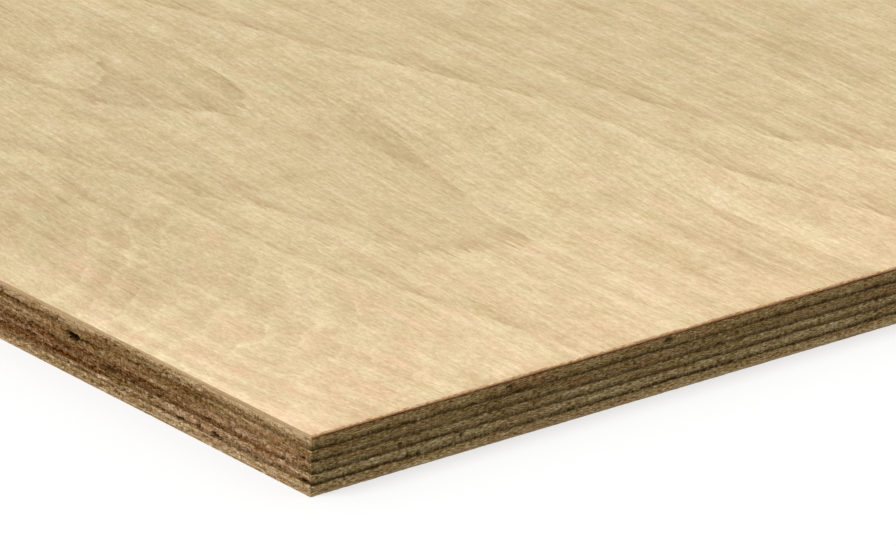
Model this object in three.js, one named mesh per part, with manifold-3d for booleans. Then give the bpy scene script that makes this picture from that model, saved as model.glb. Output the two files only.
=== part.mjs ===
// A plywood sheet: seven plies glued with their grain crossing, sawn square on all four sides.
//
// Millimetres. +X runs along the sheet and along the grain of its face, +Y across it, +Z up.
// The origin is the middle of the underside.

import * as THREE from 'three';
import { mergeVertices } from 'three/addons/utils/BufferGeometryUtils.js';
import Module from 'manifold-3d';

const wasm = await Module();
wasm.setup();

const SHEET_LENGTH = 2440;
const SHEET_WIDTH = 1220;

// Outer leaves are thin and crisp at their arrises. The core plies are soft enough for the saw to
// pull their edges back along the glue lines, which leaves a groove between each two plies.
const LEAF = 0.875;
const LEAF_EASE = { height: 0.125, depth: 0.125 };
const CORE_EASE = { height: 0.375, depth: 0.5 };
const EASE_SEGMENTS = 4;

// A core ply is laid from strips, side by side across its grain. At the sawn edges the joints
// between them stand open by these widths, in turn, and close up further in.
const JOINT_GAPS = [0.5, 0.8, 0.6, 1.1];
const JOINT_DEPTH = 14;

// A knot has dropped out of the edge of the upper core, on the long side at y = -SHEET_WIDTH / 2.
const KNOT_HOLE = { fromEnd: 108, width: 6.2, height: 2.5, depth: 9 };
const KNOT_SEGMENTS = 10;

const LEAF_COLOUR = 0xe3c799;
const BACK_COLOUR = 0xc9ad7f;
const CROSSBAND_COLOUR = 0x8f7c55;
const CORE_COLOUR = 0x96784f;

// The lay-up, from the underside up. A ply's strips are counted from the x = +SHEET_LENGTH / 2 end
// where its grain runs across the sheet, and from the y = -SHEET_WIDTH / 2 side where it runs along.
// One last strip fills the rest of the sheet.
const LAY_UP = [
  { name: 'back_veneer', thickness: LEAF, grain: 'x', colour: BACK_COLOUR },
  {
    name: 'lower_crossband',
    thickness: 2.625,
    grain: 'y',
    colour: CORE_COLOUR,
    strips: [262, 318, 244, 405, 287, 351, 226],
  },
  {
    name: 'lower_core',
    thickness: 3.375,
    grain: 'x',
    colour: CROSSBAND_COLOUR,
    strips: [34, 36, 77.5, 61.5, 188, 243, 159, 276],
  },
  {
    name: 'middle_crossband',
    thickness: 3.25,
    grain: 'y',
    colour: CROSSBAND_COLOUR,
    strips: [397, 251, 333, 288, 372, 219, 304],
  },
  {
    name: 'upper_core',
    thickness: 3.5,
    grain: 'x',
    colour: CORE_COLOUR,
    strips: [292, 214, 187, 305],
    knotHole: KNOT_HOLE,
  },
  {
    name: 'upper_crossband',
    thickness: 3.5,
    grain: 'y',
    colour: CROSSBAND_COLOUR,
    strips: [203, 341, 276, 389, 268, 315, 297],
  },
  { name: 'face_veneer', thickness: LEAF, grain: 'x', colour: LEAF_COLOUR },
];

function toSolid(geometry) {
  const shell = geometry.clone();
  shell.deleteAttribute('normal');
  shell.deleteAttribute('uv');
  const merged = mergeVertices(shell, 1e-4);
  return new wasm.Manifold(new wasm.Mesh({
    numProp: 3,
    vertProperties: merged.attributes.position.array,
    triVerts: Uint32Array.from(merged.index.array),
  }));
}

function toGeometry(solid) {
  const { vertProperties, triVerts } = solid.getMesh();
  const geometry = new THREE.BufferGeometry();
  geometry.setAttribute('position', new THREE.BufferAttribute(vertProperties, 3));
  geometry.setIndex(new THREE.BufferAttribute(triVerts, 1));
  geometry.computeVertexNormals();
  return geometry;
}

// The whole ply, its underside at z = 0, with both arrises eased all round.
function slab(thickness, ease) {
  const x = SHEET_LENGTH / 2;
  const y = SHEET_WIDTH / 2;
  const outline = new THREE.Shape();
  outline.moveTo(-x, -y).lineTo(x, -y).lineTo(x, y).lineTo(-x, y).closePath();
  const geometry = new THREE.ExtrudeGeometry(outline, {
    depth: thickness - 2 * ease.height,
    bevelThickness: ease.height,
    bevelSize: ease.depth,
    bevelOffset: -ease.depth,
    bevelSegments: EASE_SEGMENTS,
  });
  return geometry.translate(0, 0, ease.height);
}

// The slots that a ply's strip joints leave in the two edges where its end grain shows.
function jointSlots({ strips, grain, thickness }) {
  const slots = [];
  let reach = 0;
  strips.forEach((strip, i) => {
    reach += strip;
    const gap = JOINT_GAPS[i % JOINT_GAPS.length];
    for (const side of [-1, 1]) {
      const across = grain === 'y';
      const slot = across
        ? new THREE.BoxGeometry(gap, 2 * JOINT_DEPTH, 2 * thickness)
        : new THREE.BoxGeometry(2 * JOINT_DEPTH, gap, 2 * thickness);
      const x = across ? SHEET_LENGTH / 2 - reach : side * SHEET_LENGTH / 2;
      const y = across ? side * SHEET_WIDTH / 2 : reach - SHEET_WIDTH / 2;
      slots.push(slot.translate(x, y, thickness / 2));
    }
  });
  return slots;
}

// An oval pocket, sunk into the long side at mid thickness.
function knotPocket({ fromEnd, width, height, depth }, thickness) {
  const mouth = new THREE.Shape();
  mouth.absellipse(0, 0, width / 2, height / 2, 0, 2 * Math.PI);
  const pocket = new THREE.ExtrudeGeometry(mouth, {
    depth: 2 * depth,
    curveSegments: KNOT_SEGMENTS,
    bevelEnabled: false,
  });
  pocket.translate(0, 0, -depth).rotateX(Math.PI / 2);
  return pocket.translate(SHEET_LENGTH / 2 - fromEnd, -SHEET_WIDTH / 2, thickness / 2);
}

function plyGeometry(ply) {
  if (!ply.strips) return slab(ply.thickness, LEAF_EASE);
  const cuts = jointSlots(ply);
  if (ply.knotHole) cuts.push(knotPocket(ply.knotHole, ply.thickness));
  const body = toSolid(slab(ply.thickness, CORE_EASE));
  return toGeometry(cuts.reduce((solid, cut) => solid.subtract(toSolid(cut)), body));
}

function plyMesh(ply) {
  const material = new THREE.MeshStandardMaterial({
    color: ply.colour,
    roughness: ply.strips ? 0.9 : 0.6,
    metalness: 0,
    flatShading: true,
  });
  const mesh = new THREE.Mesh(plyGeometry(ply), material);
  mesh.name = ply.name;
  return mesh;
}

const group = new THREE.Group();
let height = 0;
for (const ply of LAY_UP) {
  const mesh = plyMesh(ply);
  mesh.position.z = height;
  group.add(mesh);
  height += ply.thickness;
}

export default group;
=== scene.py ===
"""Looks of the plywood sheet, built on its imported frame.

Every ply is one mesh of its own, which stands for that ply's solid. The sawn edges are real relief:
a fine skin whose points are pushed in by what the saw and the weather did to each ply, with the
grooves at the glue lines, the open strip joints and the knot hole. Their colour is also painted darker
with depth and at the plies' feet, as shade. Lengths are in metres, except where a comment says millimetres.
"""

import math

import bpy
import numpy as np
from mathutils import Matrix, Vector


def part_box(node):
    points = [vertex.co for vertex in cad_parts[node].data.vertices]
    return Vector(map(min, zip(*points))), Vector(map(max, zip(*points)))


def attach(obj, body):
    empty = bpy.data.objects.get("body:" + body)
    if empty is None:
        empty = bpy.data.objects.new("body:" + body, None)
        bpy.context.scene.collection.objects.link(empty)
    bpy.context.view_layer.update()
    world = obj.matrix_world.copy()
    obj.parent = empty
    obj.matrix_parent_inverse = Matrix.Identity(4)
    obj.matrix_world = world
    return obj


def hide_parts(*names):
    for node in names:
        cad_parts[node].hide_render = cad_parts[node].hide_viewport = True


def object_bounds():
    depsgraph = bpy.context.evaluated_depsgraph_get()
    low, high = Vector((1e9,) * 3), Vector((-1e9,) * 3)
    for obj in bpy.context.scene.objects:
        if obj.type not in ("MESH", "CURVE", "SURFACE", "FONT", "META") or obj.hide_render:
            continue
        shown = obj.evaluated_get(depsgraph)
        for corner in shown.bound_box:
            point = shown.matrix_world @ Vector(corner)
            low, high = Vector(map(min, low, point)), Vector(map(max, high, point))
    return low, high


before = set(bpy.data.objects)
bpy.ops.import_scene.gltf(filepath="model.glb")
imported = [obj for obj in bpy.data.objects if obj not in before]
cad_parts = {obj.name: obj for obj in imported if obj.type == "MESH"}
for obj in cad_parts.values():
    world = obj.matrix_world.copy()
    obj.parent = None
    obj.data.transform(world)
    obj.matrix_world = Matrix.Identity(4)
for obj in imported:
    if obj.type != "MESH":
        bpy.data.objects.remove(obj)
CAD_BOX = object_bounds()

MM = 0.001
IN_MM = 1 / MM
HALF_LENGTH = CAD_BOX[1].x
HALF_WIDTH = CAD_BOX[1].y
THICKNESS = CAD_BOX[1].z

# The skin's columns are finest on both sides of the corner that the camera sees. A core ply's rows crowd
# together near its glue lines.
FINE_STEP = 0.3 * MM
COARSE_STEP = 3.5 * MM
STEP_GROWTH = 1.04
FINE_END_REACH = 240 * MM
FINE_SIDE_REACH = 165 * MM
CORE_ROWS = 12
ROW_CROWDING = 0.45
LEAF_ROWS = 4

# What lies inside the sawn skin: a band of long triangles, then a coarse grid.
RIM_INSET = 6 * MM
GRID_INSET = 12 * MM
GRID_CELL = 60 * MM
CORNER_BLEND = 3 * MM

# The strip joints, which stand open by these widths in turn.
STRIP_GAPS = [0.5 * MM, 0.8 * MM, 0.6 * MM, 1.1 * MM]
JOINT_DEPTH = 2.0 * MM
JOINT_REACH = 4 * MM

# The plies from the top down, with their colours at the ends and on the long sides. A foot is the groove
# over the glue line below a ply, painted darker as shade, by its strength at the ends and on the long sides.
# A lip is a ply's upper edge, by its depth in millimetres and its stain at the ends. Strips are in
# millimetres, from the +X end in a crossband, whose grain runs across the sheet, and from the -Y side in a
# core.
CORES = {
    "upper_crossband": {
        "foot": (0.9, 0.3),
        "lip": (0.4, 0.15),
        "colours": ((160, 134, 86), (159, 127, 85)),
        "slot": "crossband",
        "strips": [203, 341, 276, 389, 268, 315, 297],
    },
    "upper_core": {
        "foot": (0.68, 0.2),
        "lip": (0.22, 0.3),
        "colours": ((148, 122, 78), (159, 127, 85)),
        "slot": "core",
        "strips": [292, 214, 187, 305],
    },
    "middle_crossband": {
        "foot": (0.85, 0.62),
        "lip": (0.22, 0.3),
        "colours": ((162, 138, 92), (151, 114, 75)),
        "slot": "crossband",
        "strips": [397, 251, 333, 288, 372, 219, 304],
    },
    "lower_core": {
        "foot": (1.0, 0.5),
        "lip": (0.22, 0.3),
        "colours": ((179, 155, 107), (164, 130, 89)),
        "slot": "core",
        "strips": [34, 36, 77.5, 61.5, 188, 243, 159, 276],
    },
    "lower_crossband": {
        "foot": (0.1, 0.1),
        "lip": (0.22, 0.3),
        "colours": ((180, 151, 101), (182, 151, 108)),
        "slot": "crossband",
        "strips": [262, 318, 244, 405, 287, 351, 226],
    },
}
# The colour at a core ply's foot: its dark glue line, and painted shade in the groove above it.
GROOVE_GLUE_AND_SHADE = (84, 65, 34)
LEAVES = {
    "face_veneer": {"colours": ((228, 184, 136), (214, 181, 137)), "groove_colour": (122, 80, 40)},
    "back_veneer": {"colours": ((184, 152, 104), (184, 152, 110)), "groove_colour": GROOVE_GLUE_AND_SHADE},
}

# The lost knot and smaller pits, as place, size and depth in millimetres. A place is the distance from
# the corner that the camera sees, below 0 on the long side and above 0 on the end, and the height.
PITS = {
    "upper_crossband": [((70, 15.6), (3.4, 1.8), 1.2), ((128.5, 15.8), (4.0, 1.8), 1.3)],
    "upper_core": [((-107.9, 12.0), (6.2, 2.9), 2.8), ((-102, 12.0), (5.0, 1.6), 0.9)],
    "middle_crossband": [
        ((-90, 7.6), (8.0, 2.4), 1.1),
        ((-128, 9.0), (3.0, 1.6), 0.9),
        ((31, 8.2), (1.4, 1.4), 1.4),
    ],
    "lower_core": [
        ((-58, 4.0), (3.4, 1.0), 1.8),
        ((-42.5, 4.1), (3.0, 1.3), 1.8),
        ((-3, 4.1), (3.0, 1.2), 1.6),
        ((53, 5.6), (1.8, 2.0), 1.2),
    ],
}

# Towards the face the long side turns pale, then smooth, between these heights. At one place, which is
# in millimetres from the corner, the pale band begins higher up.
POLISHED_FROM, POLISHED_TO = 14.4 * MM, 16.9 * MM
SMOOTH_FROM, SMOOTH_TO = 16.0 * MM, 17.2 * MM
DIP_PLACE, DIP_REACH, DIP_DEPTH = -78, 18, 0.8 * MM

# Between these heights the pits of the long side are shallower by this share.
CALM_FROM, CALM_TO, CALM_SHARE = 10.2 * MM, 15.0 * MM, 0.75

# How far the glue lines lie below their places in the solids: a drop everywhere, one more at the ends,
# less of it with height, and a sag in the sheet's upper part, away from the corner that the camera sees.
# Close to the sheet's two faces they keep their places.
GLUE_LINE_DROP = 0.60 * MM
GLUE_LINE_END_DROP = 0.17 * MM
GLUE_LINE_RISE = 0.028
GLUE_LINE_SAG = 0.32 * MM
SAG_REACH = 110 * MM
SAG_FROM, SAG_FADE = 7 * MM, 3 * MM
FACES_KEPT = 2 * MM

# The groove at a core ply's foot, by its height and its depth in millimetres; it is also painted darker
# as shade. It is deeper and darker within these reaches of the corner that the camera sees, and fades
# over these lengths.
FOOT_HEIGHT = 2.0 * MM
FOOT_DEPTH = 0.45
CORNER_REACH, CORNER_FADE = SAG_REACH / 2, 40 * MM
ARRIS_REACH, ARRIS_FADE = 8 * MM, 7 * MM

# A core ply's lip, the share of its depth that it loses at the ends, and its stains.
LIP_HEIGHT, LIP_END_LOSS = 0.4 * MM, 0.75
END_STAIN_HEIGHT, SIDE_STAIN_HEIGHT = 0.2 * MM, 0.15 * MM
SIDE_STAIN = 0.35

# Cracks in the core plies' ends, and the most that their edges are pushed in, in millimetres.
CRACK_SPACING, CRACK_WIDTH, CRACK_SLANT = 26 * MM, 0.22 * MM, 0.35
DEEPEST_RELIEF = 2.2

# The torn strip at the foot of the face veneer's ends. Where the face's arris is chipped down, the edge
# and the face stand back by these shares of the chip's height.
LEAF_FOOT_HEIGHT = 0.4 * MM
EDGE_SETBACK, FACE_SETBACK = 0.3, 1.2


def smooth(t):
    """0 below 0, 1 above 1, and a smooth step between them."""
    t = np.clip(t, 0, 1)
    return t * t * (3 - 2 * t)


# ---- random fields

OCTAVES = 3


def lattice(i, j, seed):
    """A number from -1 to 1 for each whole-number place, the same each run."""
    mask = np.uint64(0xFFFFFFFF)
    h = (i.astype(np.int64) & 0xFFFFFFFF).astype(np.uint64) * np.uint64(374761393)
    h = h + (j.astype(np.int64) & 0xFFFFFFFF).astype(np.uint64) * np.uint64(668265263)
    h = (h + np.uint64(seed * 2246822519 % 4294967296)) & mask
    h = ((h ^ (h >> np.uint64(13))) * np.uint64(1274126177)) & mask
    h = ((h ^ (h >> np.uint64(16))) * np.uint64(2654435761)) & mask
    h ^= h >> np.uint64(15)
    return h.astype(float) / 0x7FFFFFFF - 1


def noise(u, v, seed):
    """Smooth noise over a plane whose lattice step is 1."""
    i, j = np.floor(u), np.floor(v)
    a, b = smooth(u - i), smooth(v - j)
    low = lattice(i, j, seed) * (1 - a) + lattice(i + 1, j, seed) * a
    high = lattice(i, j + 1, seed) * (1 - a) + lattice(i + 1, j + 1, seed) * a
    return low * (1 - b) + high * b


def fractal(u, v, seed):
    """Noise with finer and weaker copies of itself added."""
    total = sum(noise(u * 2**k, v * 2**k, seed + k) / 2**k for k in range(OCTAVES))
    return total / 1.5


# ---- outline


def graded(length, fine_reach):
    """Distances from 0 up to length: fine steps first, then growing to coarse ones."""
    places, step = [0.0], FINE_STEP if fine_reach else COARSE_STEP
    while places[-1] < length - 0.5 * step:
        places.append(places[-1] + step)
        if places[-1] > fine_reach:
            step = min(step * STEP_GROWTH, COARSE_STEP)
    return np.array(places) * length / places[-1]


def outline_side(run, out, fine_reach):
    """A side that runs and faces these ways. Its end is 1 on the sheet's two short ends."""
    start = (out[0] - run[0]) * HALF_LENGTH, (out[1] - run[1]) * HALF_WIDTH
    length = 2 * HALF_WIDTH if out[0] else 2 * HALF_LENGTH
    return {"start": start, "run": run, "out": out, "length": length, "fine": fine_reach, "end": abs(out[0])}


# The camera sees the first side and the last, which meet at the corner at +X, -Y.
SIDES = [
    outline_side((0, 1), (1, 0), FINE_END_REACH),
    outline_side((-1, 0), (0, 1), 0),
    outline_side((0, -1), (-1, 0), 0),
    outline_side((1, 0), (0, -1), FINE_SIDE_REACH),
]
SEEN_END, SEEN_SIDE = 0, 3

# How far apart the sides' noise is looked up, so that none repeats another's.
SIDE_SHIFT = 7.0


def joint_places(ply, number):
    """The place along a side, and the width, of each of a ply's open strip joints there."""
    if not ply:
        return []
    side = SIDES[number]
    if side["end"] != (ply["slot"] == "core"):
        return []
    reach = np.cumsum(ply["strips"]) * MM
    # Sides 0 and 1 start at the first strip, and the other two end there.
    places = reach if number < 2 else side["length"] - reach
    return [(place, STRIP_GAPS[i % len(STRIP_GAPS)]) for i, place in enumerate(places)]


def columns(ply):
    """The skin's columns round the outline, counter-clockwise from the corner at +X, -Y."""
    parts = []
    for number, side in enumerate(SIDES):
        t = graded(side["length"], side["fine"])
        if number == SEEN_SIDE:
            t = side["length"] - t[::-1]
        for place, gap in joint_places(ply, number):
            edges = place + gap * np.array([-1.6, -0.8, 0, 0.8, 1.6])
            t = np.append(t[np.abs(t - place) > 2 * gap], edges)
        parts.append({"t": np.sort(t)[:-1], "side": np.full(len(t) - 1, number)})
    return {key: np.concatenate([part[key] for part in parts]) for key in parts[0]}


def side_values(key, cols):
    """What SIDES says under this key, for each column."""
    return np.array([side[key] for side in SIDES], float)[cols["side"]]


def place_points(cols, inset):
    """x and y of the columns' points when they are pushed in by inset."""
    length = side_values("length", cols)[:, None]
    t = cols["t"][:, None]
    blend = CORNER_BLEND + 2 * inset
    t = t + inset * (np.clip(1 - t / blend, 0, 1) - np.clip(1 - (length - t) / blend, 0, 1))
    start, run, out = (side_values(key, cols) for key in ("start", "run", "out"))
    x = start[:, :1] + run[:, :1] * t - out[:, :1] * inset
    y = start[:, 1:] + run[:, 1:] * t - out[:, 1:] * inset
    return x, y


# ---- relief of the sawn edges


def from_corner(cols):
    """Each column's distance from the corner that the camera sees."""
    along = np.where(cols["side"] == SEEN_SIDE, SIDES[SEEN_SIDE]["length"] - cols["t"], cols["t"])
    seen = np.isin(cols["side"], (SEEN_END, SEEN_SIDE))
    return np.where(seen, along, 2 * HALF_WIDTH)[:, None]


def noise_place(cols):
    """Where each column's noise is looked up, in metres."""
    return cols["t"][:, None] + SIDE_SHIFT * cols["side"][:, None]


def at_end(cols):
    """1 for each column on a short end, and 0 on a long side."""
    return side_values("end", cols)[:, None]


def glue_line_height(cols, z):
    """How far the glue lines lie above their places in the solids. They wander, and mostly lie lower."""
    s = noise_place(cols)
    level = z / THICKNESS * 40
    sag = GLUE_LINE_SAG * smooth(from_corner(cols) / SAG_REACH) * smooth((z - SAG_FROM) / SAG_FADE)
    drop = GLUE_LINE_DROP + GLUE_LINE_END_DROP * at_end(cols) + sag
    wander = 0.18 * MM * noise(s / (40 * MM), level / 9, 11) + GLUE_LINE_RISE * z - drop
    wander = wander + 0.15 * MM * noise(s / (9 * MM), level / 4, 12)
    return wander * smooth(z / FACES_KEPT) * smooth((THICKNESS - z) / FACES_KEPT)


def cracks(s, z, seed):
    """Thin cracks that run through a ply, one in about every other cell, 0 to 1."""
    s = s + CRACK_SLANT * z + 0.15 * MM * noise(z / (0.6 * MM), s / (3 * MM), seed)
    cell = np.floor(s / CRACK_SPACING)
    centre = (cell + 0.5 + 0.35 * lattice(cell, cell * 0, seed)) * CRACK_SPACING
    there = smooth(lattice(cell, cell * 0 + 1, seed) * 1.5)
    return there * np.exp(-(((s - centre) / CRACK_WIDTH) ** 2))


def glue_lines(cols, z, ply, seed):
    """How deep and how dark each point lies in a core ply's glue lines, both about 0 to 1.

    The groove at its foot is broad, is painted dark as shade, and is stronger round the camera's corner.
    Its lip is only stained.
    """
    s, end = noise_place(cols), at_end(cols)
    (end_foot, side_foot), (_, stained_lip) = ply["foot"], ply["lip"]
    ragged = 1 + 0.35 * fractal(s / (2.5 * MM), z / (0.8 * MM), seed + 1)
    patchy = 0.5 + 0.5 * smooth(0.55 + 0.9 * noise(s / (13 * MM), z * 0 + 5, seed + 2))
    broken = smooth(0.6 + 0.7 * fractal(s / (5 * MM), s * 0 + 8, seed + 33))
    by_corner = smooth((CORNER_REACH - from_corner(cols)) / CORNER_FADE)
    by_arris = smooth((ARRIS_REACH - from_corner(cols)) / ARRIS_FADE)
    on_end = end_foot * (0.78 + 0.34 * broken + 0.22 * by_corner + 0.25 * by_arris)
    on_side = side_foot * patchy + 0.7 * by_arris * end_foot
    strength = end * on_end + (1 - end) * on_side
    foot = (1 - smooth((z - z[:, :1]) / FOOT_HEIGHT)) * ragged * strength
    below_top = z[:, -1:] - z
    lip = end * stained_lip * (1 - smooth(below_top / END_STAIN_HEIGHT))
    lip = lip + (1 - end) * SIDE_STAIN * (1 - smooth(below_top / SIDE_STAIN_HEIGHT))
    return foot, np.maximum(foot, lip)


def core_relief(cols, z, foot, lip_depth, seed):
    """How far each point of a core ply's sawn edge is pushed in."""
    s, end = noise_place(cols), at_end(cols)
    lip = lip_depth * (1 - LIP_END_LOSS * end) * (1 - smooth((z[:, -1:] - z) / LIP_HEIGHT))

    streaks = 0.17 * fractal(s / (12 * MM), z / (0.7 * MM), seed + 5)
    streaks += 0.10 * fractal(s / (3.2 * MM), z / (0.6 * MM), seed + 9)
    chips = np.clip(fractal(s / (1.8 * MM), z / (1.0 * MM), seed + 13) - 0.25, 0, 1)
    end_relief = streaks + chips + 0.3 * cracks(s, z, seed + 17)

    fibres = 0.26 * fractal(s / (1.2 * MM), z / (0.8 * MM), seed + 21)
    tears = 0.26 * fractal(s / (7 * MM), z / (1.3 * MM), seed + 25)
    pits = np.clip(fractal(s / (2.0 * MM), z / (1.0 * MM), seed + 29) - 0.25, 0, 1)
    pits = pits * (1 - CALM_SHARE * smooth((z - CALM_FROM) / MM) * smooth((CALM_TO - z) / MM))
    rough = 1 - 0.85 * smooth((z - SMOOTH_FROM) / (SMOOTH_TO - SMOOTH_FROM))
    side_relief = rough * (fibres + tears + 1.7 * pits)

    relief = lip + FOOT_DEPTH * foot + 0.08 + end * end_relief + (1 - end) * side_relief
    return MM * np.clip(relief, 0.02, DEEPEST_RELIEF)


def joint_relief(cols, z, ply, seed):
    """The strip joints of a ply, which gape unevenly and are packed with dust. Their depth also darkens
    their colour, as painted shade.
    """
    relief = np.zeros_like(z)
    for number in range(len(SIDES)):
        for place, gap in joint_places(ply, number):
            near = np.flatnonzero((cols["side"] == number) & (np.abs(cols["t"] - place) < JOINT_REACH))
            t, h = cols["t"][near][:, None] - place, z[near]
            bend = 0.5 * gap * fractal(h / (1.3 * MM), h * 0 + place / MM, seed)
            uneven = 0.65 + 0.6 * fractal(h / (0.9 * MM), t / MM + place / MM, seed + 1)
            groove = JOINT_DEPTH * np.clip(uneven, 0.1, 1.2) * np.exp(-(((t - bend) / (0.75 * gap)) ** 2))
            relief[near] = np.maximum(relief[near], groove)
    return relief


def pit_relief(cols, z, name):
    """The lost knot and the other pits in a ply's edge, by the camera's corner."""
    along = from_corner(cols)
    relief = np.zeros_like(z)
    for place, size, depth in PITS.get(name, []):
        here = (cols["side"] == (SEEN_END if place[0] > 0 else SEEN_SIDE))[:, None]
        u = (along - abs(place[0]) * MM) / (size[0] / 2 * MM)
        v = (z - place[1] * MM) / (size[1] / 2 * MM)
        reach = np.sqrt(u**2 + v**2) + 0.36 * fractal(u * 1.6, v * 2, 71) + 0.3 * fractal(u * 6, v * 3, 75)
        relief = np.maximum(relief, np.where(here, depth * MM * smooth((1.3 - reach) / 0.7), 0))
    return relief


def leaf_foot(cols, z, seed):
    """About 0.85 at the foot of the face veneer's ends, which tore away, and 0 elsewhere."""
    s, end = noise_place(cols), at_end(cols)
    ragged = 1 + 0.3 * fractal(s / (4 * MM), s * 0 + 3, seed + 9)
    is_face = z[0, 0] > THICKNESS / 2
    return 0.85 * end * ragged * (1 - smooth((z - z[:, :1]) / LEAF_FOOT_HEIGHT)) * is_face


def leaf_relief(cols, z, seed):
    """How far an outer leaf's edge is pushed in: hardly on the long sides, more at the ends."""
    s, end = noise_place(cols), at_end(cols)
    chips = np.clip(fractal(s / (2.2 * MM), z / (1.2 * MM), seed) + 0.1, 0, 1)
    chips = 0.5 * chips + leaf_foot(cols, z, seed)
    fine = 0.05 * fractal(s / (0.8 * MM), z / (0.3 * MM), seed + 3)
    streaks = 0.05 * fractal(s / (25 * MM), z / (0.3 * MM), seed + 6)
    return np.clip(MM * (0.08 + end * (0.30 * chips + fine) + (1 - end) * streaks), 0.01 * MM, MM)


def arris_chips(cols):
    """How far the face's arris is broken down, in rough chips at the ends and hardly on the sides."""
    s, end = noise_place(cols), at_end(cols)
    chips = np.clip(fractal(s / (2.4 * MM), s * 0 + 2, 51) + 0.15, 0, 1)
    return MM * (0.03 + end * (0.19 + 0.06 * chips))


# ---- ply meshes


def side_rows(side, side_of_column):
    """Numbers of a side's columns, with the first column of the next side."""
    own = np.flatnonzero(side_of_column == side)
    return np.append(own, (own[-1] + 1) % len(side_of_column))


def zip_triangles(outer, outer_t, inner, inner_t):
    """Triangles between two rows of points that run side by side."""
    triangles = []
    i = j = 0
    while i < len(outer) - 1 or j < len(inner) - 1:
        if j == len(inner) - 1 or (i < len(outer) - 1 and outer_t[i + 1] <= inner_t[j + 1]):
            triangles.append((outer[i], outer[i + 1], inner[j]))
            i += 1
        else:
            triangles.append((outer[i], inner[j + 1], inner[j]))
            j += 1
    return triangles


class Skin:
    """Collects points and faces, then becomes a Blender mesh."""

    def __init__(self):
        self.points = []
        self.values = {"worn": [], "groove": [], "end": []}
        self.faces, self.face_material = [], []
        self.count = 0

    def add_points(self, x, y, z, **values):
        x, y, z = np.broadcast_arrays(x, y, z)
        numbers = self.count + np.arange(x.size).reshape(x.shape)
        self.points.append(np.stack([x, y, z], -1).reshape(-1, 3))
        for key, parts in self.values.items():
            parts.append(np.broadcast_to(values.get(key, 0.0), x.shape).ravel())
        self.count += x.size
        return numbers

    def add_faces(self, faces, material):
        self.faces += [tuple(f) for f in np.asarray(faces).tolist()]
        self.face_material += [material] * len(faces)

    def add_quads(self, a, b, c, d, material):
        self.add_faces(np.stack([n.ravel() for n in (a, b, c, d)], -1), material)

    def close_cap(self, rim, cols, z, material, upward):
        """Fills in the level face inside the rim, a ring of point numbers, with a grid of its own."""
        a, b = HALF_LENGTH - GRID_INSET, HALF_WIDTH - GRID_INSET
        xs = np.linspace(-a, a, 1 + round(2 * a / GRID_CELL))
        ys = np.linspace(-b, b, 1 + round(2 * b / GRID_CELL))
        grid = self.add_points(xs[:, None], ys[None, :], z)
        grid_edges = [grid[-1], grid[::-1, -1], grid[0, ::-1], grid[:, 0]]
        triangles = []
        for number, inner in enumerate(grid_edges):
            own = side_rows(number, cols["side"])
            outer_t = np.append(cols["t"][own[:-1]], SIDES[number]["length"]) - GRID_INSET
            inner_t = ys + b if SIDES[number]["end"] else xs + a
            triangles += zip_triangles(rim[own], outer_t, inner, inner_t)
        corners = [grid[:-1, :-1], grid[1:, :-1], grid[1:, 1:], grid[:-1, 1:]]
        if not upward:
            triangles, corners = [t[::-1] for t in triangles], corners[::-1]
        self.add_faces(triangles, material)
        self.add_quads(*corners, material)

    def mesh(self, name, materials):
        mesh = bpy.data.meshes.new(name)
        mesh.from_pydata(np.concatenate(self.points).tolist(), [], self.faces)
        for material in materials:
            mesh.materials.append(material)
        mesh.polygons.foreach_set("material_index", self.face_material)
        for key, parts in self.values.items():
            layer = mesh.attributes.new(key, "FLOAT", "POINT")
            layer.data.foreach_set("value", np.concatenate(parts).astype(np.float32))
        mesh.shade_smooth()
        mesh.set_sharp_from_angle(angle=math.radians(50))
        return mesh


def build_ply(name, z_rows, relief, materials, is_face=False, ply=None):
    """A closed mesh from rings: out along the underside, up the sawn edge and in along the top."""
    cols = columns(ply)
    z = np.tile(z_rows, (len(cols["t"]), 1))
    inset, groove = relief(cols, z)
    end = at_end(cols)
    height = z + glue_line_height(cols, z)
    if is_face:
        chips = arris_chips(cols)
        height[:, -1:] -= chips
        inset[:, -1:] += EDGE_SETBACK * chips
    skin = Skin()

    foot_x, foot_y = place_points(cols, np.full_like(inset[:, :1], RIM_INSET))
    rings = [skin.add_points(foot_x, foot_y, z_rows[0], end=end)[:, 0]]
    x, y = place_points(cols, inset)
    wall = skin.add_points(x, y, height, worn=inset / MM, groove=groove, end=end)
    rings += [wall[:, i] for i in range(wall.shape[1])]
    if is_face:
        x, y = place_points(cols, inset[:, -1:] + 0.05 * MM + FACE_SETBACK * chips)
        rings.append(skin.add_points(x, y, z_rows[-1], end=end)[:, 0])
    rings.append(skin.add_points(foot_x, foot_y, z_rows[-1], groove=1.0, end=end)[:, 0])

    top = len(materials) - 1
    for low, high in zip(rings, rings[1:]):
        material = top if high is rings[-1] else 0
        skin.add_quads(low, np.roll(low, -1), np.roll(high, -1), high, material)
    skin.close_cap(rings[0], cols, z_rows[0], top, upward=False)
    skin.close_cap(rings[-1], cols, z_rows[-1], top, upward=True)

    piece = bpy.data.objects.new(name + "_wood", skin.mesh(name + "_wood", materials))
    bpy.context.collection.objects.link(piece)
    return piece


# ---- materials


def linear(r, g, b):
    """A colour given as 0 to 255 sRGB, as Blender's sockets want it."""
    def channel(v):
        v /= 255
        return v / 12.92 if v <= 0.04045 else ((v + 0.055) / 1.055) ** 2.4

    return (channel(r), channel(g), channel(b), 1)


DARKEST_LIGHT = 0.2


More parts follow.
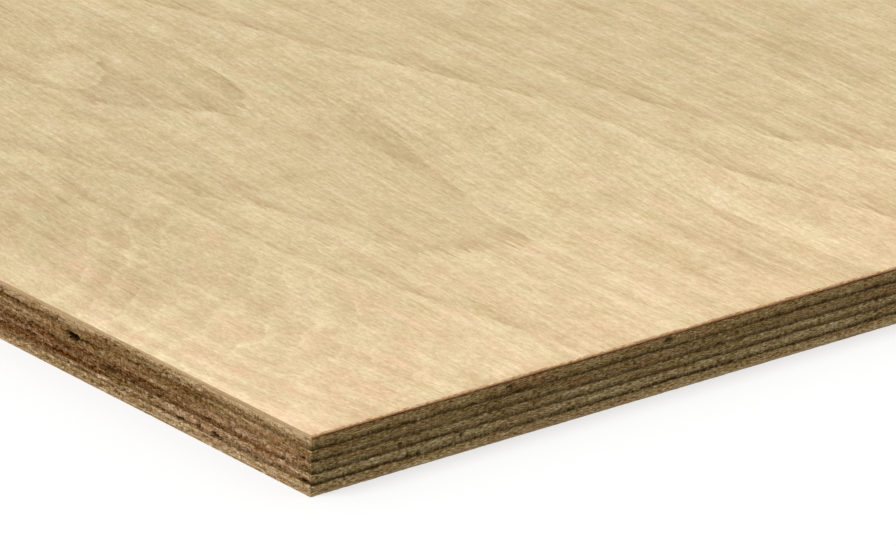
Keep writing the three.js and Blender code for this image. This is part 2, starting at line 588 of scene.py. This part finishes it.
class Nodes:
    """A node tree under construction. Most calls add a node and return its output."""

    def __init__(self, tree):
        self.tree = tree

    def add(self, kind, **inputs):
        node = self.tree.nodes.new(kind)
        for key, value in inputs.items():
            self.connect(node.inputs[key], value)
        return node

    def connect(self, socket, value):
        if isinstance(value, bpy.types.NodeSocket):
            self.tree.links.new(value, socket)
        else:
            socket.default_value = value

    def math(self, operation, a, b=0.0, c=0.0):
        node = self.add("ShaderNodeMath")
        node.operation = operation
        for socket, value in zip(node.inputs, (a, b, c)):
            self.connect(socket, value)
        return node.outputs[0]

    def plus(self, *terms):
        total = terms[0]
        for term in terms[1:]:
            total = self.math("ADD", total, term)
        return total

    def times(self, a, b):
        return self.math("MULTIPLY", a, b)

    def scaled(self, a, factor, offset=0.0):
        return self.math("MULTIPLY_ADD", a, factor, offset)

    def weighted(self, *terms):
        """The sum of (value, weight) pairs."""
        return self.plus(*(self.scaled(value, weight) for value, weight in terms))

    def attribute(self, name):
        node = self.add("ShaderNodeAttribute")
        node.attribute_name = name
        return node.outputs["Fac"]

    def noise(self, x, y, size_x, size_y, seed, detail=2.0, roughness=0.55):
        """Noise of about -1 to 1 whose features are size_x by size_y."""
        x, y = self.math("DIVIDE", x, size_x), self.math("DIVIDE", y, size_y)
        place = self.add("ShaderNodeCombineXYZ", X=x, Y=y, Z=seed).outputs[0]
        node = self.add("ShaderNodeTexNoise", Vector=place, Scale=1.0, Detail=detail, Roughness=roughness)
        return self.scaled(node.outputs["Fac"], 4.0, -2.0)

    def ramp(self, value, low, high, to_low=0.0, to_high=1.0):
        """value from low to high becomes to_low to to_high, smoothly, and stays there."""
        node = self.add("ShaderNodeMapRange", Value=value)
        node.interpolation_type = "SMOOTHSTEP"
        for key, number in (("From Min", low), ("From Max", high), ("To Min", to_low), ("To Max", to_high)):
            self.connect(node.inputs[key], number)
        return node.outputs["Result"]

    def band(self, value, edges, height):
        """Up to this height between the two middle edges, and 0 outside the outer two."""
        rise = self.ramp(value, edges[0], edges[1], 0.0, height)
        return self.times(rise, self.ramp(value, edges[3], edges[2]))

    def curve(self, value, points):
        """value looked up on a smooth curve through these (value, result) points."""
        places, results = zip(*points)
        start, span = places[0], places[-1] - places[0]
        low, high = min(results), max(results)
        share = self.scaled(value, 1 / span, -start / span)
        node = self.add("ShaderNodeFloatCurve", Value=share)
        line = node.mapping.curves[0]
        while len(line.points) < len(points):
            line.points.new(0.5, 0.5)
        for point, place, result in zip(line.points, places, results):
            point.location = ((place - start) / span, (result - low) / (high - low))
            point.handle_type = "AUTO_CLAMPED"
        node.mapping.update()
        return self.scaled(node.outputs[0], high - low, low)

    def fading(self, distance, reach):
        """1 where distance is 0 or less, falling away with distance."""
        return self.math("EXPONENT", self.scaled(self.math("MAXIMUM", distance, 0.0), -1 / reach))

    def mix(self, share, a, b):
        node = self.add("ShaderNodeMix")
        node.data_type = "RGBA"
        node.clamp_factor = False
        # The node has sockets for every data type. Numbers 6, 7 and 2 are its colours.
        for number, value in ((0, share), (6, a), (7, b)):
            self.connect(node.inputs[number], value)
        return node.outputs[2]

    def vector(self, operation, a, b):
        node = self.add("ShaderNodeVectorMath")
        node.operation = operation
        for socket, value in zip(node.inputs, (a, b)):
            self.connect(socket, value[:3] if isinstance(value, tuple) else value)
        return node.outputs[0]

    def lit(self, colour, light, fade, glow):
        """colour times light, whose channels follow it by the powers fade below 1 and glow above."""
        below_one = self.math("MINIMUM", self.math("MAXIMUM", light, DARKEST_LIGHT), 1.0)
        dim = self.vector("POWER", below_one, fade)
        bright = self.vector("POWER", self.math("MAXIMUM", light, 1.0), glow)
        return self.vector("MULTIPLY", colour, self.vector("MULTIPLY", dim, bright))


class Finish(Nodes):
    """A material's nodes, with the place on the object as x, y and z."""

    def __init__(self, name, roughness, specular):
        self.material = bpy.data.materials.new(name)
        self.material.use_nodes = True
        super().__init__(self.material.node_tree)
        self.surface = self.tree.nodes["Principled BSDF"]
        self.surface.inputs["Roughness"].default_value = roughness
        self.surface.inputs["Specular IOR Level"].default_value = specular
        place = self.add("ShaderNodeTexCoord").outputs["Object"]
        split = self.add("ShaderNodeSeparateXYZ", Vector=place)
        self.x, self.y, self.z = (split.outputs[axis] for axis in "XYZ")

    def finish(self, colour, height, depth):
        """Sets the colour and a bump of that depth, and returns the material."""
        self.connect(self.surface.inputs["Base Color"], colour)
        bump = self.add("ShaderNodeBump", Height=height, Strength=1.0, Distance=depth)
        self.connect(self.surface.inputs["Normal"], bump.outputs[0])
        return self.material


def blot(f, u, v, centre, radii):
    """1 at the centre of a soft oval, falling to 0 round it."""
    du = f.math("DIVIDE", f.plus(u, -centre[0]), radii[0])
    dv = f.math("DIVIDE", f.plus(v, -centre[1]), radii[1])
    reach = f.plus(f.times(du, du), f.times(dv, dv))
    return f.math("EXPONENT", f.scaled(reach, -1))


# How strongly red, green and blue follow a fall and a rise in light: dark wood is browner.
EDGE_FADE = (1.6, 2.15, 3.6)
EDGE_GLOW = (1.6, 2.0, 2.8)
EDGE_BUMP = 0.10 * MM
# Dust and glue, and painted shade, in the deepest recesses: the edge is painted towards this colour between
# these depths in millimetres.
DUST_GLUE_AND_RECESS_SHADE = (70, 48, 22)
RECESS_SHADE_FROM, RECESS_SHADE_TO = 0.4, 1.7
POLISHED = (216, 184, 140)
LEAF_CONTRAST = 0.45

# Reddish wood and a pale line. Lines run along the ends and have the heights where they start, are full,
# begin to end and have ended.
RED_WOOD = (147, 97, 57)
RED_LINE = 16.5 * MM, 16.9 * MM, 17.05 * MM, 17.4 * MM
RED_ZONE = (-126, 5.6), (30, 1.8)
PALE_LINE = 10.2 * MM, 10.6 * MM, 10.95 * MM, 11.3 * MM

# The long side is calmer below the first of these heights and above the last. All edges turn paler
# towards the underside, and the ends a little more.
CALM_BELOW = 2.6 * MM, 3.6 * MM
CALM_ABOVE = 9.4 * MM, 10.6 * MM
PALE_BOTTOM = 2.6 * MM, 1.0 * MM
PALE_END_BOTTOM = 1.6 * MM, 0.7 * MM

# Stains and pale stretches of the long side, as centre, radii and light. A centre is X from the corner,
# and height, in millimetres.
STAINS = [
    ((-132, 14.2), (14, 0.5), -0.32),
    ((-46, 16.0), (13, 0.6), 0.20),
    ((-88, 16.2), (10, 0.7), -0.24),
    ((-75, 12.6), (100, 1.9), -0.07),
    ((-128, 12.4), (14, 1.0), 0.12),
    ((-72, 13.4), (30, 0.9), -0.14),
    ((-100, 12.2), (6, 1.2), -0.34),
    ((-53, 12.7), (10, 1.3), -0.28),
    ((-22, 12.4), (9, 1.0), 0.24),
    ((-70, 10.7), (90, 0.5), 0.14),
    ((-120, 8.8), (34, 1.2), -0.26),
    ((-74, 8.9), (18, 1.0), -0.30),
    ((-30, 8.9), (26, 1.1), 0.30),
    ((-44, 7.1), (30, 0.4), -0.20),
    ((-128, 6.9), (14, 0.6), 0.70),
    ((-106, 5.4), (25, 1.2), -0.55),
    ((-140, 5.3), (12, 1.0), -0.20),
    ((-38, 5.4), (42, 1.1), 0.25),
    ((-98, 3.9), (15, 0.6), 0.80),
    ((-56, 3.7), (10, 0.6), -0.20),
    ((-102, 1.8), (15, 1.0), -0.26),
    ((-46, 2.4), (22, 0.7), 0.28),
]


def sawn_edge(name, colours, seed, groove_colour=GROOVE_GLUE_AND_SHADE, end_contrast=1.0):
    """The sawn edge of a ply: streaked along the ends of the sheet, fibrous along its sides."""
    f = Finish(name, roughness=0.9, specular=0.03)
    along = f.plus(f.x, f.y)
    end, worn = f.attribute("end"), f.attribute("worn")
    side = f.scaled(end, -1, 1.0)
    front = f.math("LESS_THAN", f.y, 0.0)
    u = f.scaled(f.x, IN_MM, -IN_MM * HALF_LENGTH)
    dip = blot(f, u, f.z, (DIP_PLACE, 0), (DIP_REACH, 1))
    band = f.plus(f.z, f.scaled(dip, -DIP_DEPTH))
    polished = f.times(f.ramp(band, POLISHED_FROM, POLISHED_TO), side)
    rough = f.scaled(f.times(f.ramp(band, SMOOTH_FROM, SMOOTH_TO), side), -0.8, 1.0)
    rough = f.times(rough, f.ramp(f.z, *CALM_BELOW, 0.8, 1.08))
    rough = f.times(rough, f.ramp(f.z, *CALM_ABOVE, 1.0, 0.82))

    def noise(length, height, own_seed, **detail):
        """Noise along the edge whose features are length by height in millimetres."""
        return f.noise(along, f.z, length * MM, height * MM, seed + own_seed, **detail)

    grain = noise(1.3, 1.0, 6, detail=3.0, roughness=1.0)
    comb = noise(0.7, 2.2, 15, detail=1.0)
    patch = noise(30, 2.0, 0)
    streak = noise(7, 0.75, 3, detail=3.0, roughness=0.85)
    speck = noise(1.6, 0.27, 21, detail=0.0)
    blotch = noise(16, 1.4, 9)
    fibre = noise(2.6, 1.0, 12, detail=3.0, roughness=0.9)
    thread = noise(26, 0.45, 27)
    end_light = f.weighted((patch, 0.13), (streak, 0.33), (speck, 0.36), (comb, 0.14))
    end_light = f.scaled(end_light, end_contrast)
    side_light = f.weighted((blotch, 0.20), (thread, 0.20), (fibre, 0.50), (grain, 0.48))
    side_light = f.plus(side_light, f.scaled(comb, 0.14), f.scaled(speck, 0.20))
    height = f.scaled(blotch, 0.5, f.scaled(f.z, IN_MM))
    for centre, radii, stain_light in STAINS:
        spot = f.times(front, blot(f, u, height, centre, radii))
        side_light = f.plus(side_light, f.scaled(spot, stain_light))
    light = f.plus(f.times(f.times(side, rough), side_light), f.times(end, end_light))
    pale_foot = f.times(end, f.ramp(f.z, *PALE_END_BOTTOM, 0.0, 0.1))
    pale_line = f.times(end, f.band(f.z, PALE_LINE, 0.13))
    light = f.plus(light, f.ramp(f.z, *PALE_BOTTOM, 1.0, 1.08), pale_foot, pale_line)
    spark = f.math("MAXIMUM", f.plus(light, -1.0), 0.0)
    light = f.plus(light, f.scaled(f.times(spark, polished), -0.65))

    red = f.ramp(noise(24, 2.0, 18), -0.1, 1.0, 0.0, 0.75)
    red_zone = f.times(f.times(side, front), blot(f, u, height, *RED_ZONE))
    red_line = f.times(end, f.band(f.z, RED_LINE, 0.9))
    red = f.plus(f.times(red, f.scaled(end, -0.15, 1.0)), f.scaled(red_zone, 0.45), red_line)
    end_colour, side_colour = (linear(*colour) for colour in colours)
    colour = f.mix(end, f.mix(polished, side_colour, linear(*POLISHED)), end_colour)
    colour = f.mix(f.math("MINIMUM", f.times(red, rough), 0.9), colour, linear(*RED_WOOD))
    colour = f.lit(colour, light, EDGE_FADE, EDGE_GLOW)
    # Painted shade in the grooves at the plies' feet, over their dark glue lines.
    groove = f.times(f.attribute("groove"), f.scaled(comb, -0.40, 0.92))
    colour = f.mix(f.math("MINIMUM", groove, 1.0), colour, linear(*groove_colour))
    # Painted shade, with dust and glue, deeper in the pits, joints and grooves.
    colour = f.mix(f.ramp(worn, RECESS_SHADE_FROM, RECESS_SHADE_TO), colour, linear(*DUST_GLUE_AND_RECESS_SHADE))
    return f.finish(colour, f.plus(streak, grain, f.times(rough, fibre)), EDGE_BUMP)


# The veneer's faces: their colour, how red, green and blue follow each kind of shade, and their tints.
FACE = (227, 203, 157.5)
FACE_BUMP = 0.012 * MM
FACE_FADE = (1.7, 2.18, 2.9)
FIGURE_FADE = (1.68, 2.24, 3.0)
BROAD_FADE = (2.25, 2.2, 2.5)
WHITE = (1, 1, 1, 1)
PINK = (1.012, 0.985, 0.992, 1)
YELLOW = (1.0, 1.0, 0.965, 1)

# Painted light: the face is painted brighter towards the nearer short end, by the distance from it in
# millimetres.
PAINTED_LIGHT_FROM_END = [(0, 1.0), (60, 0.985), (130, 0.957), (260, 0.93), (600, 0.948), (1220, 0.962)]

# The figure near the corner at +X, -Y, in millimetres from it, and where it fades into the sheet's own.
FIGURE_U, FIGURE_V = (-430, -330), (400, 340)

# A tongue's edge is at this u for each v, a flank's at this v for each u. Dark late wood lies inside a
# tongue and above a flank, or below a flank whose strength is negative.
TONGUES = [
    {"fades_in": (-230, -150), "edge": [
        (66, -240), (74, -215), (82, -192), (90, -160), (103, -125), (110, -92), (128, -81), (143, -77),
        (147, -102), (153, -122), (161, -150), (171, -178), (186, -430),
    ]},
    {"fades_in": FIGURE_U, "edge": [
        (96, -430), (108, -262), (111, -250), (115, -241), (124, -232), (130, -227), (137, -218),
        (143, -215), (150, -222), (156, -234), (160, -255), (166, -430),
    ]},
    {"fades_in": FIGURE_U, "edge": [
        (238, -430), (246, -172), (254, -137), (261, -103), (270, -86), (281, -74), (300, -64),
        (340, -62), (368, -120), (380, -430),
    ]},
]
FLANKS = [
    {"strength": 1.0, "edge": [
        (-430, 152), (-290, 189), (-250, 200), (-195, 217), (-160, 227), (-100, 229), (-50, 238), (0, 248),
    ]},
    {"strength": 0.7, "edge": [(-200, 77), (-100, 80), (-80, 85), (-60, 90), (-30, 95), (0, 99)]},
    {"strength": -0.7, "edge": [(-150, 216), (-125, 213), (-95, 209), (-60, 206), (-20, 206), (0, 209)]},
]
FLANK_FADE = 60

# Paler and darker spots, as centre, radii and light.
SPOTS = [
    ((-40, 214), (65, 7), 0.024),
    ((-205, 206), (45, 5), 0.022),
    ((-300, 162), (45, 6), 0.022),
    ((-15, 60), (26, 50), 0.036),
    ((-70, 2), (110, 11), 0.058),
    ((-25, 128), (40, 22), 0.022),
    ((-42, 189), (20, 10), -0.042),
    ((-165, 172), (12, 4), -0.045),
    ((-156, 168), (24, 9), -0.042),
    ((-150, 50), (42, 22), -0.050),
    ((-116, 24), (16, 22), -0.030),
    ((-72, 18), (26, 22), 0.036),
    ((-151, 320), (24, 12), -0.055),
    ((-52, 134), (14, 8), -0.036),
    ((-296, 182), (22, 7), -0.040),
    ((-146, 158), (22, 4), -0.036),
    ((-118, 153), (12, 3), -0.040),
    ((-253, 131), (9, 1.6), -0.036),
    ((-247, 123), (9, 5), 0.040),
    ((-239, 135), (5, 3), 0.036),
    ((-258, 110), (12, 1.6), -0.042),
    ((-226, 140), (9, 8), -0.024),
    ((-236, 120), (6, 5), -0.036),
    ((-155, 249), (25, 4), -0.042),
    ((-225, 294), (12, 6), -0.042),
]

# The pale eye, and the patch of confused grain beside it.
EYE_CENTRE, EYE_RADII, EYE_LEAN = (-276.5, 123), (15, 13), 0.6
BURL = (-247, 123), (18, 11)
BURL_TINT = (0.988, 0.976, 1.02, 1)

# The curly patch: where it fades in, how its curls lean, as u for each v, their spacing, and the share
# of it that a curl takes to rise.
CURLY_U, CURLY_V = (-250, -170), (82, 66)
CURL_LEAN = [(0, 62), (15, 56), (38, 40), (57, 22), (70, 8), (80, 0)]
CURL_SPACING = 16
CURL_RISE = 0.09

# The mean distance between the sheet's other rings.
RING_SPACING = 420


def ring_shade(f, inside, edge_width, dark_reach, rim_reach):
    """Shade across a ring's edge: dark late wood on its inner side, pale early wood on its outer one."""
    outside = f.scaled(inside, -1)
    body = f.weighted((f.fading(inside, dark_reach), -0.048), (f.fading(inside, 4), -0.030))
    rim = f.weighted((f.fading(outside, rim_reach), 0.024), (f.fading(outside, 3), 0.014))
    body = f.times(f.ramp(inside, 0, edge_width), body)
    return f.plus(body, f.times(f.ramp(outside, 0, edge_width), rim))


def curly_place(f, u, v):
    """Distance across the curls of the curly wood, which lean along CURL_LEAN."""
    warp = f.noise(u, v, 50, 38, 55, detail=3.0)
    return f.plus(u, f.scaled(f.curve(v, CURL_LEAN), -1), f.scaled(warp, 12))


def curls(f, u, v, place):
    """Thin pale curls across the grain between soft bands."""
    cycle = f.math("FRACT", f.scaled(place, 1 / CURL_SPACING))
    after = f.plus(cycle, -CURL_RISE)
    step = f.weighted((f.fading(after, 0.10), 0.45), (f.fading(after, 0.34), 0.60))
    step = f.times(f.ramp(cycle, 0.0, CURL_RISE), step)
    broad = f.noise(place, v, 14, 90, 58, detail=1.0)
    patchy = f.ramp(f.noise(u, v, 38, 34, 61), -0.9, 0.5)
    return f.plus(f.times(patchy, f.scaled(step, 0.054, -0.017)), f.scaled(broad, 0.030))


def eye(f, u, v, jag):
    """A pale eye in the figure, with a light and a dark line round the side that faces the corner."""
    along, across = f.plus(u, -EYE_CENTRE[0]), f.plus(v, -EYE_CENTRE[1])
    du = f.scaled(f.plus(along, f.scaled(across, EYE_LEAN)), 1 / EYE_RADII[0])
    dv = f.scaled(across, 1 / EYE_RADII[1])
    reach = f.math("SQRT", f.plus(f.times(du, du), f.times(dv, dv)))
    reach = f.scaled(jag, 0.12, f.scaled(f.noise(u, v, 12, 8, 83), 0.15, reach))
    light_line = f.times(f.ramp(reach, 0.85, 0.95), f.ramp(reach, 1.05, 0.95))
    dark_line = f.times(f.ramp(reach, 1.0, 1.08), f.fading(f.plus(reach, -1.08), 0.2))
    lines = f.weighted((light_line, 0.055), (dark_line, -0.050))
    towards_corner = f.ramp(f.plus(du, f.scaled(dv, 0.3)), -0.3, 1.0)
    return f.plus(f.ramp(reach, 1.0, 0.6, 0.0, 0.046), f.times(lines, towards_corner))


def burl(f, u, v):
    """How far a point lies in the patch of confused grain beside the eye, and the shade there."""
    here = blot(f, u, v, *BURL)
    flecks = f.noise(u, v, 9, 4.5, 81)
    return here, f.times(here, f.scaled(flecks, 0.065, -0.012))


def corner_figure(f, u, v, streaky):
    """The eye, rings and spots near the corner at +X, -Y."""
    jag = f.noise(u, v, 40, 2.4, 31, roughness=0.8)
    shade = eye(f, u, v, jag)
    for tongue in TONGUES:
        edge = f.curve(f.scaled(jag, 1.3, v), tongue["edge"])
        inside = f.plus(edge, f.scaled(u, -1), f.scaled(jag, 8))
        shown = f.ramp(u, *tongue["fades_in"], 0.4, 1.0)
        ring = ring_shade(f, inside, edge_width=1.6, dark_reach=60, rim_reach=28)
        shade = f.plus(shade, f.times(shown, ring))
    for flank in FLANKS:
        turn = math.copysign(1, flank["strength"])
        above = f.plus(v, f.scaled(f.curve(u, flank["edge"]), -1), f.scaled(jag, 1.8))
        start = flank["edge"][0][0]
        shown = f.ramp(u, start, start + FLANK_FADE, 0.0, abs(flank["strength"]))
        ring = ring_shade(f, f.scaled(above, turn), edge_width=0.8, dark_reach=8, rim_reach=8)
        shade = f.plus(shade, f.times(shown, ring))
    ragged_u = f.scaled(f.noise(u, v, 20, 5, 33), 9, u)
    ragged_v = f.scaled(f.noise(u, v, 14, 6, 35), 3, v)
    for centre, radii, light in SPOTS:
        here = blot(f, ragged_u, ragged_v, centre, radii)
        shade = f.plus(shade, f.scaled(here, light))
    return f.times(shade, streaky)


def sheet_figure(f, u, v, flow, seed):
    """The figure of the rest of the sheet: long ragged rings over broad soft streaks."""
    growth = f.weighted((f.noise(u, flow, 900, 210, seed + 4, detail=1.0), 2.6), (v, 1 / RING_SPACING))
    cycle = f.math("FRACT", f.scaled(f.noise(u, flow, 45, 3, seed + 2), 0.06, growth))
    dark = f.times(f.ramp(cycle, 0.0, 0.04), f.fading(cycle, 0.35))
    rim = f.fading(f.scaled(cycle, -1, 1.0), 0.15)
    broad = f.noise(u, flow, 500, 38, seed + 26)
    return f.plus(f.scaled(dark, -0.060, 0.012), f.scaled(rim, 0.025), f.scaled(broad, 0.012))


def from_edges(f, u, v):
    """Distances from the nearer short end and from the nearer long side, in millimetres."""
    from_end = f.math("MINIMUM", f.scaled(u, -1), f.plus(u, IN_MM * 2 * HALF_LENGTH))
    from_side = f.math("MINIMUM", v, f.scaled(v, -1, IN_MM * 2 * HALF_WIDTH))
    return from_end, from_side


def fine_figure(f, u, v, flow, shade, streaks, seed):
    """The fine threads, bands, streaks and mottle over the figure's shade, and the fibres alone."""
    bands = f.noise(u, flow, 110, 5.5, seed + 8, detail=1.0)
    threads = f.ramp(f.noise(u, flow, 24, 1.2, seed + 22), 0.05, 1.0)
    crowded = f.ramp(f.noise(u, flow, 55, 16, seed + 30, detail=1.0), -0.5, 0.7, 0.4, 1.7)
    threads = f.times(f.times(threads, crowded), f.scaled(f.math("MAXIMUM", shade, -0.06), 0.9, -0.028))
    streaks = f.times(streaks, f.scaled(shade, -0.30, 0.082))
    fibres = f.noise(u, flow, 3.4, 1.0, seed + 12, roughness=1.0)
    askew = f.weighted((u, 0.8), (v, 0.6)), f.weighted((u, -0.6), (v, 0.8))
    mottle = f.noise(*askew, 22, 22, seed + 14, detail=4.0, roughness=0.9)
    fine = f.scaled(fibres, 0.096), f.scaled(mottle, 0.076)
    return f.plus(threads, f.scaled(bands, 0.037), streaks, *fine), fibres


def wood_tint(f, u, flow, from_end, from_side, flecks, shade, seed):
    """Yellowish streaks on a tint that is pinker in the flecks, in the dark rings and by the edges."""
    yellows = f.noise(u, flow, 30, 11, seed + 24, roughness=0.5)
    weathered = f.plus(f.ramp(from_end, 120, 0, 0.0, 1.6), f.ramp(from_side, 60, 0, 0.0, 1.4))
    pink = f.plus(weathered, f.scaled(flecks, 1.5), f.scaled(shade, -2.5))
    return f.mix(yellows, f.mix(pink, WHITE, PINK), YELLOW)


def veneer_face(name, seed, has_corner_figure):
    """Pale rotary-cut veneer. u and v are X and Y in millimetres from the corner at +X, -Y."""
    f = Finish(name, roughness=0.6, specular=0.25)
    u = f.scaled(f.x, IN_MM, -IN_MM * HALF_LENGTH)
    v = f.scaled(f.y, IN_MM, IN_MM * HALF_WIDTH)
    sway = f.noise(u, v, 400, 170, seed, detail=1.0)
    flow = f.plus(v, f.scaled(sway, 14), f.ramp(u, -400, 0, 0, 36))

    shade = sheet_figure(f, u, v, flow, seed)
    streaks = f.noise(u, flow, 22, 1.7, seed + 10, detail=3.0, roughness=0.8)
    flecks = f.noise(u, flow, 20, 8, seed + 16, roughness=0.6)
    if has_corner_figure:
        near = f.times(f.ramp(u, *FIGURE_U), f.ramp(v, *FIGURE_V))
        confused, own = burl(f, u, v)
        streaky = f.scaled(f.noise(u, flow, 70, 3.5, seed + 6), 0.8, 1.1)
        own = f.plus(own, corner_figure(f, u, v, streaky))
        shade = f.plus(f.times(shade, f.scaled(near, -1, 1.0)), f.times(own, near))
        curly = f.times(f.ramp(v, *CURLY_V), f.ramp(u, *CURLY_U))
        place = curly_place(f, u, v)
        leaning = f.noise(u, f.scaled(u, 0.5, v), 14, 1.6, seed + 18, detail=3.0, roughness=0.8)
        streaks = f.times(streaks, f.scaled(curly, -0.35, 1.0))
        streaks = f.plus(streaks, f.times(leaning, f.scaled(curly, 0.38)))
        shade = f.plus(shade, f.times(curly, curls(f, u, v, place)))
        flecks = f.plus(flecks, f.times(curly, f.noise(place, v, 15, 60, seed + 20)))

    figure, fibres = fine_figure(f, u, v, flow, shade, streaks, seed)
    from_end, from_side = from_edges(f, u, v)
    tint = wood_tint(f, u, flow, from_end, from_side, flecks, shade, seed)
    if has_corner_figure:
        tint = f.mix(confused, tint, BURL_TINT)
    colour = f.vector("MULTIPLY", linear(*FACE), tint)
    colour = f.lit(colour, f.plus(1.0, shade), FACE_FADE, FACE_FADE)
    colour = f.lit(colour, f.plus(1.0, figure), FIGURE_FADE, FIGURE_FADE)
    # Painted light towards the short ends, over broad clouds of random tone.
    clouds = f.noise(u, v, 620, 330, seed + 28)
    painted_light_and_clouds = f.plus(f.curve(from_end, PAINTED_LIGHT_FROM_END), f.scaled(clouds, 0.012))
    colour = f.lit(colour, painted_light_and_clouds, BROAD_FADE, BROAD_FADE)
    return f.finish(colour, fibres, FACE_BUMP)


# ---- the sheet


def crowded_rows(count):
    """Shares from 0 to 1 that lie closer together near both ends."""
    t = np.linspace(0, 1, count + 1)
    return t - ROW_CROWDING * np.sin(2 * np.pi * t) / (2 * np.pi)


def dress(piece, node, slot):
    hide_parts(node)
    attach(piece, "root")


def make_cores():
    for seed, (name, ply) in enumerate(CORES.items()):
        low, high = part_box(name)
        z_rows = low.z + (high.z - low.z) * crowded_rows(CORE_ROWS)

        def relief(cols, z, seed=100 * (seed + 1), name=name, ply=ply):
            foot, groove = glue_lines(cols, z, ply, seed)
            sawn = core_relief(cols, z, foot, ply["lip"][0], seed)
            holes = np.maximum(joint_relief(cols, z, ply, seed + 40), pit_relief(cols, z, name))
            return np.maximum(sawn, holes), groove

        edge = sawn_edge(name + "_edge", ply["colours"], 10.0 * seed)
        piece = build_ply(name, z_rows, relief, [edge], ply=ply)
        dress(piece, name, ply["slot"])


def make_leaves():
    for seed, (name, leaf) in enumerate(LEAVES.items(), start=7):
        low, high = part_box(name)
        z_rows = np.linspace(low.z, high.z, LEAF_ROWS + 1)

        def relief(cols, z, seed=100 * seed):
            return leaf_relief(cols, z, seed), leaf_foot(cols, z, seed)

        is_face = name == "face_veneer"
        edge = sawn_edge(name + "_edge", leaf["colours"], 10.0 * seed, leaf["groove_colour"], LEAF_CONTRAST)
        face = veneer_face(name, 30.0 * seed, is_face)
        dress(build_ply(name, z_rows, relief, [edge, face], is_face), name, name)


make_cores()
make_leaves()


# ---- camera, floor and light

IMAGE_WIDTH, IMAGE_HEIGHT = 896, 546
FOCAL_PIXELS = 6466.3
CORNER_PIXEL = (311.68, 436.02)
CORNER_DISTANCE = 1.73834
AZIMUTH, ELEVATION, ROLL = (math.radians(angle) for angle in (49.852, 21.1356, 1.5723))
SENSOR_WIDTH = 36


def make_camera():
    """The camera looks past the corner of the face at +X, -Y, which it sees at CORNER_PIXEL."""
    back = Vector((
        math.sin(AZIMUTH) * math.cos(ELEVATION),
        -math.cos(AZIMUTH) * math.cos(ELEVATION),
        math.sin(ELEVATION),
    ))
    level = Vector((math.cos(AZIMUTH), math.sin(AZIMUTH), 0))
    upright = back.cross(level)
    right = math.cos(ROLL) * level + math.sin(ROLL) * upright
    up = math.cos(ROLL) * upright - math.sin(ROLL) * level
    to_right = CORNER_PIXEL[0] - IMAGE_WIDTH / 2
    to_top = IMAGE_HEIGHT / 2 - CORNER_PIXEL[1]
    ray = (right * to_right + up * to_top - back * FOCAL_PIXELS).normalized()
    corner = Vector((HALF_LENGTH, -HALF_WIDTH, THICKNESS))

    data = bpy.data.cameras.new("camera")
    data.sensor_width = SENSOR_WIDTH
    data.lens = FOCAL_PIXELS / IMAGE_WIDTH * SENSOR_WIDTH
    data.clip_end = 300
    camera = bpy.data.objects.new("camera", data)
    turn = Matrix((right, up, back)).transposed().to_4x4()
    camera.matrix_world = Matrix.Translation(corner - ray * CORNER_DISTANCE) @ turn
    bpy.context.collection.objects.link(camera)
    bpy.context.scene.camera = camera


WORLD_LIGHT = 0.6
SUN_STRENGTH = 1.6
SUN_FROM = (-0.25, -0.75, 1.0)
SUN_WIDTH = 25
FLOOR_SIZE = 300
FLOOR_BOUNCE = 0.45
FLOOR_SHADOW = 0.4

# The light on the open floor, which the floor's own glow tops up to white.
FLOOR_LIGHT = 0.96


def seen_directly(f):
    """1 for what the camera, a reflection or a see-through ray meets, 0 for light on the object."""
    path = f.add("ShaderNodeLightPath")
    seen = (path.outputs[key] for key in ("Is Camera Ray", "Is Glossy Ray", "Is Transmission Ray"))
    return f.math("MINIMUM", f.plus(*seen), 1.0)


def make_floor():
    """A pale floor that shows as white round the object and keeps part of its shadow."""
    bpy.ops.mesh.primitive_plane_add(size=FLOOR_SIZE)
    floor = bpy.context.object
    floor.name = "floor"
    f = Finish("floor", roughness=1.0, specular=0.0)
    grey = (FLOOR_BOUNCE,) * 3 + (1,)
    shaded = (FLOOR_SHADOW,) * 3 + (1,)
    seen = seen_directly(f)
    f.connect(f.surface.inputs["Base Color"], f.mix(seen, grey, shaded))
    f.connect(f.surface.inputs["Emission Color"], WHITE)
    f.connect(f.surface.inputs["Emission Strength"], f.scaled(seen, 1 - FLOOR_LIGHT * FLOOR_SHADOW))
    floor.data.materials.append(f.material)


def make_light():
    """An even white sky and one wide sun from the left, so that the end is the darkest side."""
    world = bpy.data.worlds.new("world")
    world.use_nodes = True
    bpy.context.scene.world = world
    f = Nodes(world.node_tree)
    sky = world.node_tree.nodes["Background"]
    f.connect(sky.inputs["Color"], WHITE)
    f.connect(sky.inputs["Strength"], f.scaled(seen_directly(f), 1 - WORLD_LIGHT, WORLD_LIGHT))
    sun = bpy.data.lights.new("sun", "SUN")
    sun.energy = SUN_STRENGTH
    sun.angle = math.radians(SUN_WIDTH)
    lamp = bpy.data.objects.new("sun", sun)
    lamp.rotation_euler = Vector(SUN_FROM).to_track_quat("Z", "Y").to_euler()
    bpy.context.collection.objects.link(lamp)


make_camera()
make_floor()
make_light()

bpy.context.scene.view_settings.view_transform = "Standard"
